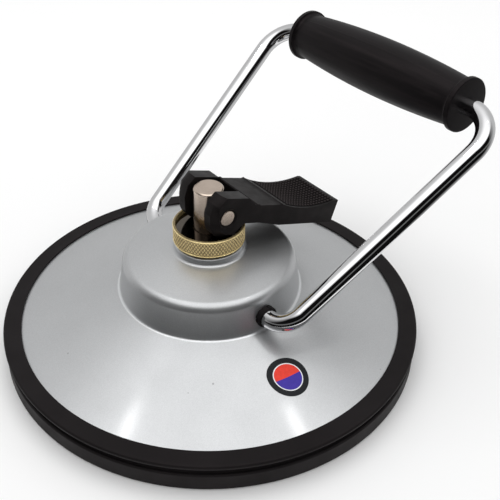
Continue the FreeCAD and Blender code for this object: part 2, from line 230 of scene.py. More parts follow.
class StickerSizes(bpy.types.PropertyGroup):
    """The round sticker on the cone."""

    place: length("Place", "Distance from the middle of the dish", 67.5 * MM)
    azimuth: turn("Azimuth", "Where the sticker sits around the dish", -95.6)
    radius: length("Radius", "Radius of the sticker", 9.3 * MM)
    thickness: length("Thickness", "Thickness of the sticker", 0.08 * MM)


class Colours(bpy.types.PropertyGroup):
    """Colours of the finishes."""

    silver: tint("Silver paint", "Fine metallic paint of the dish", PAINT["silver_paint"])
    pad: tint("Pad rubber", "Matte rubber of the pad", PAINT["pad_rubber"])
    brass: tint("Brass", "Turned brass of the collar", PAINT["collar_brass"])
    bronze: tint("Bearing bronze", "Guide sleeve", PAINT["bearing_bronze"])
    polished: tint("Polished steel", "Washer under the cams", PAINT["polished_steel"])
    plated: tint("Plated rod", "Nickel plate of rod and pin", PAINT["plated_rod"])
    steel: tint("Plain steel", "Zinc plate of the inner pieces", PAINT["plain_steel"])
    lever: tint("Lever black", "Moulded lever", PAINT["lever_black"])
    chrome: tint("Chrome", "Bright chrome of the wire", PAINT["bail_chrome"])
    grip: tint("Grip rubber", "Satin rubber of the grip", PAINT["grip_rubber"])
    sticker_ring: tint("Sticker ring", "Outer ring of the sticker", (0.012, 0.013, 0.015))
    sticker_line: tint("Sticker line", "Thin ring inside it", (0.82, 0.82, 0.84))
    sticker_upper: tint("Sticker upper half", "Upper half of its middle", (0.78, 0.055, 0.035))
    sticker_lower: tint("Sticker lower half", "Lower half of its middle", (0.055, 0.035, 0.33))


class LifterLooks(bpy.types.PropertyGroup):
    """All sizes and colours of the lifter."""

    dish: PointerProperty(type=DishSizes)
    pad: PointerProperty(type=PadSizes)
    collar: PointerProperty(type=CollarSizes)
    lever: PointerProperty(type=LeverSizes)
    bail: PointerProperty(type=BailSizes)
    sticker: PointerProperty(type=StickerSizes)
    colours: PointerProperty(type=Colours)


class Finish:
    """A material being made: a Principled shader and the nodes that feed it."""

    def __init__(self, name, **sockets):
        self.material = bpy.data.materials.new(name)
        self.material.use_nodes = True
        self.tree = self.material.node_tree
        self.shader = self.tree.nodes["Principled BSDF"]
        for socket, value in sockets.items():
            self.shader.inputs[socket.replace("_", " ").title().replace("Ior", "IOR")].default_value = value
        self.place = self.node("ShaderNodeTexCoord").outputs["Object"]

    def node(self, kind, inputs=None, **settings):
        """Adds a node; an input is a value or the socket that feeds it."""
        made = self.tree.nodes.new(kind)
        for key, value in settings.items():
            setattr(made, key, value)
        for key, value in (inputs or {}).items():
            self.feed(made.inputs[key], value)
        return made

    def feed(self, socket, value):
        if isinstance(value, bpy.types.NodeSocket):
            self.tree.links.new(value, socket)
        else:
            socket.default_value = value

    def stretched(self, scale):
        """Object coordinates, stretched."""
        return self.node("ShaderNodeMapping", {"Vector": self.place, "Scale": scale}).outputs["Vector"]

    def noise(self, scale, detail=3.0, vector=None):
        inputs = {"Vector": vector or self.place, "Scale": scale, "Detail": detail}
        return self.node("ShaderNodeTexNoise", inputs).outputs["Fac"]

    def mottle(self, scale, low, high, detail=3.0):
        """Cloudy value between two limits."""
        return self.spread(self.noise(scale, detail), (0.3, 0.7), (low, high))

    def cells(self, scale):
        """A random value for each small cell."""
        made = self.node("ShaderNodeTexVoronoi", {"Vector": self.place, "Scale": scale})
        return self.node("ShaderNodeSeparateColor", {"Color": made.outputs["Color"]}).outputs["Red"]

    def spots(self, scale, size):
        """1 in small round spots, 0 elsewhere."""
        made = self.node("ShaderNodeTexVoronoi", {"Vector": self.place, "Scale": scale})
        return self.spread(made.outputs["Distance"], (size, size * 0.6), (0.0, 1.0))

    def spread(self, value, source, target):
        """Value moved from one range to another, and kept inside it."""
        inputs = {"Value": value, "From Min": source[0], "From Max": source[1]}
        inputs.update({"To Min": target[0], "To Max": target[1]})
        return self.node("ShaderNodeMapRange", inputs).outputs["Result"]

    def math(self, operation, *inputs):
        return self.node("ShaderNodeMath", dict(enumerate(inputs)), operation=operation).outputs["Value"]

    def vector(self, operation, *inputs):
        """Outputs of a step of vector maths."""
        return self.node("ShaderNodeVectorMath", dict(enumerate(inputs)), operation=operation).outputs

    def attribute(self, name):
        return self.node("ShaderNodeAttribute", attribute_name=name).outputs["Fac"]

    def shade(self, colour, amount):
        """Colour made lighter or darker by an amount."""
        inputs = {"Vector": colour, "Scale": amount}
        return self.node("ShaderNodeVectorMath", inputs, operation="SCALE").outputs["Vector"]

    def mix(self, factor, first, second):
        """First colour where the factor is 0, second where it is 1."""
        ends = [end if isinstance(end, bpy.types.NodeSocket) else (*end, 1.0) for end in (first, second)]
        return self.node("ShaderNodeMix", {0: factor, 6: ends[0], 7: ends[1]}, data_type="RGBA").outputs[2]

    def radius(self):
        """Distance from the upright axis."""
        flat = self.vector("MULTIPLY", self.place, (1.0, 1.0, 0.0))["Vector"]
        return self.vector("LENGTH", flat)["Value"]

    def rings(self, scale):
        """Fine turned rings around the upright axis."""
        inputs = {"Vector": self.place, "Scale": scale, "Distortion": 0.4, "Detail": 1.0}
        made = self.node("ShaderNodeTexWave", inputs, wave_type="RINGS", rings_direction="Z")
        return made.outputs["Fac"]

    def colour(self, socket):
        self.feed(self.shader.inputs["Base Color"], socket)

    def roughness(self, socket):
        self.feed(self.shader.inputs["Roughness"], socket)

    def bump(self, height, strength, distance):
        inputs = {"Height": height, "Strength": strength, "Distance": distance}
        self.feed(self.shader.inputs["Normal"], self.node("ShaderNodeBump", inputs).outputs["Normal"])


def silver_paint(colours, foot):
    """Fine metallic satin paint with faint clouds, a few specks and a painted highlight line at the hub's foot."""
    finish = Finish("silver_paint", metallic=0.94, coat_weight=0.6, coat_roughness=0.13, coat_ior=1.6)
    flakes = finish.spread(finish.cells(5200.0), (0.0, 1.0), (0.93, 1.07))
    clouds = finish.mottle(22.0, 0.965, 1.03, 4.0)
    # Painted highlight: the paint is lighter in a thin ring along the hub's foot.
    painted_highlight_radius = foot + 0.45 * MM
    off = finish.math("ABSOLUTE", finish.math("SUBTRACT", finish.radius(), painted_highlight_radius))
    line = finish.spread(off, (0.3 * MM, 0.75 * MM), (1.4, 1.0))
    tone_and_painted_light = finish.math("MULTIPLY", line, finish.math("MULTIPLY", flakes, clouds))
    dusty = finish.spread(finish.noise(30.0), (0.56, 0.6), (0.0, 0.6))
    specks = finish.math("MULTIPLY", finish.spots(95.0, 0.055), dusty)
    finish.colour(finish.mix(specks, finish.shade(colours.silver, tone_and_painted_light), (0.16, 0.16, 0.165)))
    finish.roughness(finish.mottle(60.0, 0.38, 0.45, 5.0))
    finish.bump(finish.noise(1100.0, 2.0), 0.05, 0.00006)
    return finish.material


def pad_rubber(colours):
    """Matte moulded rubber with fine grain and a trace of dust."""
    finish = Finish("pad_rubber", specular_ior_level=0.2, specular_tint=WARM)
    dust = finish.spread(finish.noise(38.0, 6.0), (0.45, 0.75), (0.0, 0.3))
    black = finish.shade(colours.pad, finish.mottle(9.0, 0.35, 0.5))
    finish.colour(finish.mix(dust, black, (0.012, 0.0105, 0.011)))
    finish.roughness(finish.mottle(90.0, 0.5, 0.62, 4.0))
    finish.bump(finish.noise(2600.0, 2.0), 0.12, 0.00008)
    return finish.material


def collar_brass(colours):
    """Turned brass with painted shade in the knurl's valleys and painted highlight on its crests."""
    finish = Finish("collar_brass", metallic=0.5)
    rim = COLLAR_HIGH.x
    # Painted shade and highlight: darker towards the knurl's valleys, lighter on its crests; the cup's inside
    # stays plain.
    knurl_painted_light = finish.spread(finish.radius(), (rim - 0.35 * MM, rim - 0.05 * MM), (0.35, 1.7))
    cup = finish.spread(finish.radius(), (rim - 1.2 * MM, rim - 0.7 * MM), (1.0, 0.0))
    worn = finish.mottle(240.0, 0.93, 1.05, 4.0)
    tone_and_painted_light = finish.math("MULTIPLY", finish.math("MAXIMUM", knurl_painted_light, cup), worn)
    finish.colour(finish.shade(colours.brass, tone_and_painted_light))
    finish.roughness(finish.mottle(700.0, 0.2, 0.3))
    finish.bump(finish.rings(1800.0), 0.05, 0.00003)
    return finish.material


def bored_bronze(colours):
    """Plain bearing metal with turned rings."""
    finish = Finish("bearing_bronze", metallic=1.0)
    finish.colour(finish.shade(colours.bronze, finish.mottle(300.0, 0.9, 1.05)))
    finish.roughness(finish.mottle(500.0, 0.3, 0.4))
    finish.bump(finish.rings(1500.0), 0.08, 0.00004)
    return finish.material


def polished_steel(colours):
    """Mirror-like washer with faint rings from the cams."""
    finish = Finish("polished_steel", metallic=1.0)
    # Painted shade: the washer is darkened to about half its colour, so the inside of the collar's cup reads dark.
    finish.colour(finish.shade(colours.polished, finish.mottle(180.0, 0.5, 0.65, 4.0)))
    finish.roughness(finish.spread(finish.rings(900.0), (0.0, 1.0), (0.07, 0.12)))
    finish.bump(finish.rings(1400.0), 0.02, 0.00002)
    return finish.material


def plated_rod(colours):
    """Nickel-plated rod: brushed across its top, finely turned on its sides."""
    finish = Finish("plated_rod", metallic=1.0)
    brushed = finish.noise(1.0, 4.0, finish.stretched((350.0, 5200.0, 900.0)))
    stain = finish.mottle(120.0, 0.95, 1.1, 4.0)
    finish.colour(finish.shade(colours.plated, stain))
    finish.roughness(finish.spread(brushed, (0.25, 0.75), (0.2, 0.28)))
    finish.bump(brushed, 0.04, 0.00002)
    return finish.material


def plain_steel(colours):
    """Zinc-plated steel of the inner pieces."""
    finish = Finish("plain_steel", metallic=1.0)
    finish.colour(finish.shade(colours.steel, finish.mottle(160.0, 0.88, 1.05, 5.0)))
    finish.roughness(finish.mottle(420.0, 0.3, 0.42))
    return finish.material


def lever_black(colours):
    """Satin black moulding, finely grained and slightly rubbed, with painted highlight and shade on the
    checkering.
    """
    finish = Finish("lever_black", specular_ior_level=0.15, specular_tint=WARM)
    # The checkering's tips are lighter: rubbed wear and painted highlight.
    tips_painted_sheen = finish.attribute("painted_sheen")
    groove = finish.attribute("groove")
    scuffs = finish.spread(finish.noise(120.0, 6.0), (0.5, 0.8), (0.0, 0.15))
    black = finish.shade(colours.lever, finish.mottle(40.0, 0.5, 0.75))
    worn = finish.mix(finish.math("MAXIMUM", scuffs, tips_painted_sheen), black, (0.05, 0.042, 0.042))
    # Painted shade: the checkering's grooves go nearly black.
    finish.colour(finish.shade(worn, finish.spread(groove, (0.2, 0.8), (1.0, 0.1))))
    satin = finish.mottle(260.0, 0.36, 0.46, 4.0)
    finish.roughness(finish.math("MAXIMUM", satin, groove))
    finish.bump(finish.noise(3600.0, 2.0), 0.1, 0.00005)
    return finish.material


def bail_chrome(colours):
    """Bright chrome over drawn wire."""
    finish = Finish("bail_chrome", metallic=1.0)
    finish.colour(finish.shade(colours.chrome, finish.mottle(70.0, 0.96, 1.04, 4.0)))
    finish.roughness(finish.mottle(420.0, 0.03, 0.07, 4.0))
    finish.bump(finish.noise(150.0, 2.0), 0.03, 0.00005)
    return finish.material


def grip_rubber(colours):
    """Satin rubber with faint lighter streaks along the grip, which are painted sheen."""
    finish = Finish("grip_rubber", specular_ior_level=0.15, specular_tint=WARM)
    streaks = finish.noise(1.0, 4.0, finish.stretched((420.0, 18.0, 420.0)))
    # Painted sheen: lighter streaks of colour along the grip.
    painted_sheen = finish.spread(streaks, (0.45, 0.75), (0.0, 0.8))
    black = finish.shade(colours.grip, finish.mottle(30.0, 0.35, 0.55))
    finish.colour(finish.mix(painted_sheen, black, (0.012, 0.0097, 0.0105)))
    finish.roughness(finish.spread(streaks, (0.35, 0.65), (0.34, 0.46)))
    finish.bump(finish.noise(2400.0, 2.0), 0.1, 0.00006)
    return finish.material


def sticker_print(colours):
    """Dark ring, thin pale ring and a middle split into two colours, on the sticker's own UV map."""
    finish = Finish("sticker_print", roughness=0.4, specular_ior_level=0.15)
    uv = finish.node("ShaderNodeTexCoord").outputs["UV"]
    middle = finish.vector("SUBTRACT", uv, (0.5, 0.5, 0.0))["Vector"]
    out = finish.vector("LENGTH", middle)["Value"]
    across = finish.node("ShaderNodeSeparateXYZ", {"Vector": middle}).outputs["Y"]
    upper = finish.math("GREATER_THAN", across, 0.0)
    halves = finish.mix(upper, colours.sticker_lower, colours.sticker_upper)
    lined = finish.mix(finish.math("GREATER_THAN", out, 0.335), halves, colours.sticker_line)
    ringed = finish.mix(finish.math("GREATER_THAN", out, 0.36), lined, colours.sticker_ring)
    wear = finish.mottle(900.0, 0.9, 1.04)
    finish.colour(finish.shade(ringed, wear))
    return finish.material


def only(kind, geom):
    """The elements of one kind in what an operator gave back."""
    return [element for element in geom if isinstance(element, kind)]


def rounded_off(bm, geom, offset, affect):
    """Rounds corners or edges of a bmesh."""
    bmesh.ops.bevel(
        bm, geom=geom, offset=offset, segments=ROUND_STEPS, profile=0.5, affect=affect, material=-1
    )


def lathe(corners, steps, closed=True):
    """New bmesh: (radius, height) or (radius, height, rounding) corners spun about Z."""
    bm = bmesh.new()
    places = [Vector((corner[0], 0.0, corner[1])) for corner in corners]
    verts = [bm.verts.new(place) for place in places]
    for first, second in zip(verts, verts[1:]):
        bm.edges.new((first, second))
    if closed:
        bm.edges.new((verts[-1], verts[0]))
    for i, corner in enumerate(corners):
        if len(corner) < 3:
            continue
        back = places[i - 1] - places[i]
        ahead = places[(i + 1) % len(places)] - places[i]
        tangent = corner[2] / math.tan(back.angle(ahead) / 2)
        rounded_off(bm, [verts[i]], tangent, "VERTICES")
    bmesh.ops.spin(
        bm,
        geom=bm.verts[:] + bm.edges[:],
        cent=(0, 0, 0),
        axis=(0, 0, 1),
        angle=math.tau,
        steps=steps,
        use_merge=True,
    )
    bmesh.ops.remove_doubles(bm, verts=bm.verts, dist=MERGE)
    bmesh.ops.recalc_face_normals(bm, faces=bm.faces)
    return bm


def moved(bm, *matrices):
    """Applies matrices, first to last, to a whole bmesh."""
    for matrix in matrices:
        bmesh.ops.transform(bm, matrix=matrix, verts=bm.verts)
    return bm


def mesh_of(bm, name):
    """Mesh made from a bmesh, which is then freed."""
    mesh = bpy.data.meshes.new(name)
    bm.to_mesh(mesh)
    bm.free()
    return mesh


def joined(*parts):
    """One bmesh that holds several."""
    whole = bmesh.new()
    for part in parts:
        mesh = mesh_of(part, "part")
        whole.from_mesh(mesh)
        bpy.data.meshes.remove(mesh)
    return whole


def cut(bm, *cutters):
    """New bmesh: a closed one with the cutters' volumes taken out."""
    scene = bpy.context.scene
    solid = bpy.data.objects.new("solid", mesh_of(bm, "solid"))
    tools = [bpy.data.objects.new("cutter", mesh_of(tool, "cutter")) for tool in cutters]
    for made in (solid, *tools):
        scene.collection.objects.link(made)
    for tool in tools:
        taken = solid.modifiers.new("taken", "BOOLEAN")
        taken.object = tool
        taken.operation = "DIFFERENCE"
        taken.solver = "EXACT"
    graph = bpy.context.evaluated_depsgraph_get()
    mesh = bpy.data.meshes.new_from_object(solid.evaluated_get(graph))
    result = bmesh.new()
    result.from_mesh(mesh)
    bpy.data.meshes.remove(mesh)
    for made in (solid, *tools):
        data = made.data
        bpy.data.objects.remove(made)
        bpy.data.meshes.remove(data)
    bmesh.ops.remove_doubles(result, verts=result.verts, dist=MERGE)
    return result


def add_piece(bm, name, material, body, replaced=(), edge=0.0, flat=True):
    """Makes the piece's object, rounds its sharp edges by a width, and lets it ride on its body.

    With flat set, broad faces keep even shading beside small ones.
    """
    mesh = mesh_of(bm, name)
    mesh.materials.append(material)
    mesh.shade_smooth()
    mesh.set_sharp_from_angle(angle=SHARP)
    piece = bpy.data.objects.new(name, mesh)
    bpy.context.scene.collection.objects.link(piece)
    if edge:
        rounded = piece.modifiers.new("rounded_edges", "BEVEL")
        rounded.width = edge
        rounded.segments = 3
        rounded.limit_method = "ANGLE"
        rounded.angle_limit = SHARP
        rounded.harden_normals = True
    if flat:
        piece.modifiers.new("flat_faces", "WEIGHTED_NORMAL").keep_sharp = True
    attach(piece, body)
    if replaced:
        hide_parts(*replaced)
    return piece


def box_tool(low, high):
    """New bmesh: a box between two corners."""
    bm = bmesh.new()
    low, high = Vector(low), Vector(high)
    size = Matrix.Diagonal((*(high - low), 1.0))
    bmesh.ops.create_cube(bm, size=1.0, matrix=Matrix.Translation((low + high) / 2) @ size)
    return bm


def along_y():
    """Turns what was made about Z so that it lies along Y."""
    return Matrix.Rotation(-QUARTER, 4, "X")


def cone_slope(dish):
    """How steeply the cone falls outwards."""
    return (dish.hub_foot - dish.edge_height) / (dish.edge_radius - dish.hub_radius)


def cone_drop(dish):
    """Upright thickness of the cone's wall."""
    return dish.wall * math.hypot(1.0, cone_slope(dish))


def cone_height(dish, radius):
    """Height of the cone's upper face at a radius."""
    return dish.hub_foot - cone_slope(dish) * (radius - dish.hub_radius)


class LIFTER_OT_dish(bpy.types.Operator):
    """Silver casting: cone, drum hub, crown and boss, with the two holes for the bail"""

    bl_idname = "lifter.dish"
    bl_label = "Dish"

    def execute(self, context):
        looks = context.scene.lifter
        dish = looks.dish
        drop = cone_drop(dish)
        draft = (dish.hub_radius - dish.shoulder_radius) / (dish.shoulder_height - dish.hub_foot)
        across = dish.wall * math.hypot(1.0, draft)
        inner_foot = dish.hub_radius - across
        inner_top = dish.shoulder_radius - across
        ceiling = dish.shoulder_height - dish.wall
        crown = (dish.crown_height - dish.shoulder_height) / (dish.shoulder_radius - dish.boss_radius)
        edge_round = 0.5 * MM
        body = lathe(
            [
                (dish.boss_bore, DISH_HIGH.z),
                (dish.boss_radius, DISH_HIGH.z, dish.boss_edge),
                (dish.boss_radius, dish.crown_height, dish.boss_foot),
                (dish.shoulder_radius, dish.shoulder_height, dish.shoulder_round),
                (dish.hub_radius, dish.hub_foot, dish.foot_round),
                (dish.edge_radius, dish.edge_height, edge_round),
                (dish.edge_radius, dish.edge_height - drop, edge_round),
                (inner_foot, cone_height(dish, inner_foot) - drop),
                (inner_top, ceiling),
                (dish.sleeve_radius, ceiling + crown * (inner_top - dish.sleeve_radius)),
                (dish.sleeve_radius, dish.sleeve_bottom),
                (dish.boss_bore, dish.sleeve_bottom),
            ],
            steps=FINE,
        )
        neck = looks.bail.wire + looks.bail.grommet_wall
        depth = 20.0 * MM
        holes = []
        for side in (-1.0, 1.0):
            tool = lathe([(0.0, 0.0), (neck, 0.0), (neck, depth), (0.0, depth)], steps=48, closed=False)
            place = (0.0, side * dish.shoulder_radius - depth / 2, PIVOT_PLACE.z)
            holes.append(moved(tool, along_y(), Matrix.Translation(place)))
        body = cut(body, *holes)
        paint = silver_paint(looks.colours, dish.hub_radius)
        add_piece(body, "silver_dish", paint, "cup", ["dish"])
        return {"FINISHED"}


class LIFTER_OT_pad(bpy.types.Operator):
    """Rubber pad: rim with groove and lips, and the membrane that the rod draws up"""

    bl_idname = "lifter.pad"
    bl_label = "Rubber pad"

    def execute(self, context):
        looks = context.scene.lifter
        pad, dish = looks.pad, looks.dish
        rubber = pad_rubber(looks.colours)
        drop = cone_drop(dish)

        def drawn(radius):
            """Height of the membrane's underside at a radius."""
            return pad.recess * (pad.face_inner - radius) / (pad.face_inner - pad.plate_radius)

        groove = pad.radius - pad.groove_depth
        groove_top = pad.band_height + pad.groove_height
        seat = dish.edge_radius + pad.fit
        soft = pad.heel / 3
        rim = lathe(
            [
                (pad.face_inner, 0.0),
                (pad.radius, 0.0, pad.heel),
                (pad.radius, pad.band_height, 2 * soft),
                (groove, pad.band_height, soft),
                (groove, groove_top, soft),
                (PAD_HIGH.x, groove_top, pad.lip_round),
                (PAD_HIGH.x, PAD_HIGH.z, pad.lip_round),
                (pad.lip_inner, PAD_HIGH.z, soft / 2),
                (pad.lip_inner, cone_height(dish, pad.lip_inner) + pad.fit),
                (seat, cone_height(dish, seat) + pad.fit),
                (seat, cone_height(dish, seat) - drop - pad.fit),
                (pad.under_lip, cone_height(dish, pad.under_lip) - drop - pad.fit, soft),
                (pad.under_lip, drawn(pad.under_lip)),
            ],
            steps=FINE,
        )
        add_piece(rim, "pad_rim", rubber, "cup", ["rubber_pad"])
        middle_top = pad.recess + pad.membrane
        membrane = lathe(
            [
                (0.0, pad.recess),
                (pad.plate_radius, pad.recess, pad.bend),
                (pad.under_lip, drawn(pad.under_lip)),
                (pad.under_lip, drawn(pad.under_lip) + pad.membrane),
                (pad.plate_radius, middle_top, pad.bend),
                (0.0, middle_top),
            ],
            steps=FINE,
            closed=False,
        )
        soft_middle = add_piece(membrane, "pad_membrane", rubber, "cup")
        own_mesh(soft_middle)
        return {"FINISHED"}


class LIFTER_OT_collar(bpy.types.Operator):
    """Brass collar: diamond-knurled rim, cup for the cams and threaded shank"""

    bl_idname = "lifter.collar"
    bl_label = "Knurled collar"

    def execute(self, context):
        looks = context.scene.lifter
        collar = looks.collar
        rim, top = COLLAR_HIGH.x, COLLAR_HIGH.z
        washer_gap = 0.05 * MM
        floor = WASHER_LOW.z - washer_gap
        cup_edge = 0.25 * MM
        root = collar.shank_radius - collar.thread_depth
        knurl_low = collar.bottom + collar.edge + collar.plain_rim
        knurl_high = top - collar.edge - collar.plain_rim
        row = (knurl_high - knurl_low) / collar.knurl_rows
        rows = [knurl_low + row * i for i in range(collar.knurl_rows + 1)]
        base = rim - collar.knurl_depth
        body = lathe(
            [
                (collar.shank_bore, COLLAR_LOW.z),
                (root, COLLAR_LOW.z),
                (root, collar.bottom),
                (rim - collar.edge, collar.bottom),
                (rim, collar.bottom + collar.edge),
                (rim, knurl_low - collar.plain_rim / 2),
                *((base, height) for height in rows),
                (rim, knurl_high + collar.plain_rim / 2),
                (rim, top - collar.edge),
                (rim - collar.edge, top),
                (collar.bore, top, cup_edge),
                (collar.bore, floor),
                (collar.shank_bore, floor),
            ],
            steps=collar.knurl_count,
        )
        self.knurl(body, base, knurl_low, knurl_high, collar.knurl_depth)
        plain_end = 0.8 * MM
        turns = int((collar.bottom - COLLAR_LOW.z) / collar.thread_pitch) - 1
        start = COLLAR_LOW.z + plain_end
        thread = self.thread(root, collar.shank_radius, start, collar.thread_pitch, turns)
        brass = collar_brass(looks.colours)
        add_piece(joined(body, thread), "knurled_collar", brass, "collar", ["collar"])
        return {"FINISHED"}

    def knurl(self, bm, base, low, high, depth):
        """Turns the band's upright squares into diamonds, and each diamond into a point."""
        squares = []
        for face in bm.faces:
            on_base = all(abs(v.co.xy.length - base) < MERGE for v in face.verts)
            if on_base and all(low - MERGE < v.co.z < high + MERGE for v in face.verts):
                squares.append(face)
        inside = [e for e in bm.edges if len(e.link_faces) == 2 and all(f in squares for f in e.link_faces)]
        centres = bmesh.ops.poke(bm, faces=squares)["verts"]
        bmesh.ops.dissolve_edges(bm, edges=inside, use_verts=False)
        diamonds = list(dict.fromkeys(f for v in centres for f in v.link_faces))
        bmesh.ops.poke(bm, faces=diamonds, offset=depth)

    def thread(self, root, crest, start, pitch, turns):
        """New bmesh: a ridge wound round the shank."""
        bm = bmesh.new()
        foot_half = 0.42 * pitch
        crest_half = 0.1 * MM
        sunk = root - 0.2 * MM
        corners = ((sunk, -foot_half), (crest, -crest_half), (crest, crest_half), (sunk, foot_half))
        verts = [bm.verts.new((radius, 0.0, start + height)) for radius, height in corners]
        face = bm.faces.new(verts)
        steps = 48
        bmesh.ops.spin(
            bm,
            geom=[face, *face.edges, *face.verts],
            cent=(0, 0, 0),
            axis=(0, 0, 1),
            dvec=(0, 0, pitch / steps),
            angle=math.tau * turns,
            steps=steps * turns,
        )
        bmesh.ops.recalc_face_normals(bm, faces=bm.faces)
        return bm


class LIFTER_OT_turned(bpy.types.Operator):
    """Turned steel: polished washer, pull rod and lever pin"""

    bl_idname = "lifter.turned"
    bl_label = "Washer, rod and pin"

    def execute(self, context):
        looks = context.scene.lifter
        rod_radius = ROD_HIGH.x
        edge = 0.15 * MM
        play = 0.3 * MM
        washer = lathe(
            [
                (rod_radius + play, WASHER_LOW.z),
                (WASHER_HIGH.x, WASHER_LOW.z),
                (WASHER_HIGH.x, WASHER_HIGH.z, edge),
                (rod_radius + play, WASHER_HIGH.z, edge),
            ],
            steps=128,
        )
        polished = polished_steel(looks.colours)
        add_piece(washer, "polished_washer", polished, "seat", ["cam_washer"])
        plated = plated_rod(looks.colours)
        bore = 5.0 * MM
        bore_top = ROD_LOW.z + 15.0 * MM
        chamfer = 0.6 * MM
        rod = lathe(
            [
                (0.0, bore_top),
                (bore, bore_top),
                (bore, ROD_LOW.z),
                (rod_radius, ROD_LOW.z),
                (rod_radius, ROD_HIGH.z - chamfer, chamfer / 2),
                (rod_radius - chamfer, ROD_HIGH.z, chamfer / 2),
                (0.0, ROD_HIGH.z),
            ],
            steps=96,
            closed=False,
        )
        add_piece(rod, "plated_pull_rod", plated, "rod", ["pull_rod"])
        pin_radius = PIN_HIGH.x
        pin_sunk = 0.5 * MM
        pin_end = PIN_HIGH.y - pin_sunk
        pin = lathe(
            [
                (0.0, -pin_end),
                (pin_radius, -pin_end, 2 * edge),
                (pin_radius, pin_end, 2 * edge),
                (0.0, pin_end),
            ],
            steps=64,
            closed=False,
        )
        moved(pin, along_y(), Matrix.Translation(PIN_PLACE))
        add_piece(pin, "plated_pin", plated, "lever", ["lever_pin"])
        return {"FINISHED"}


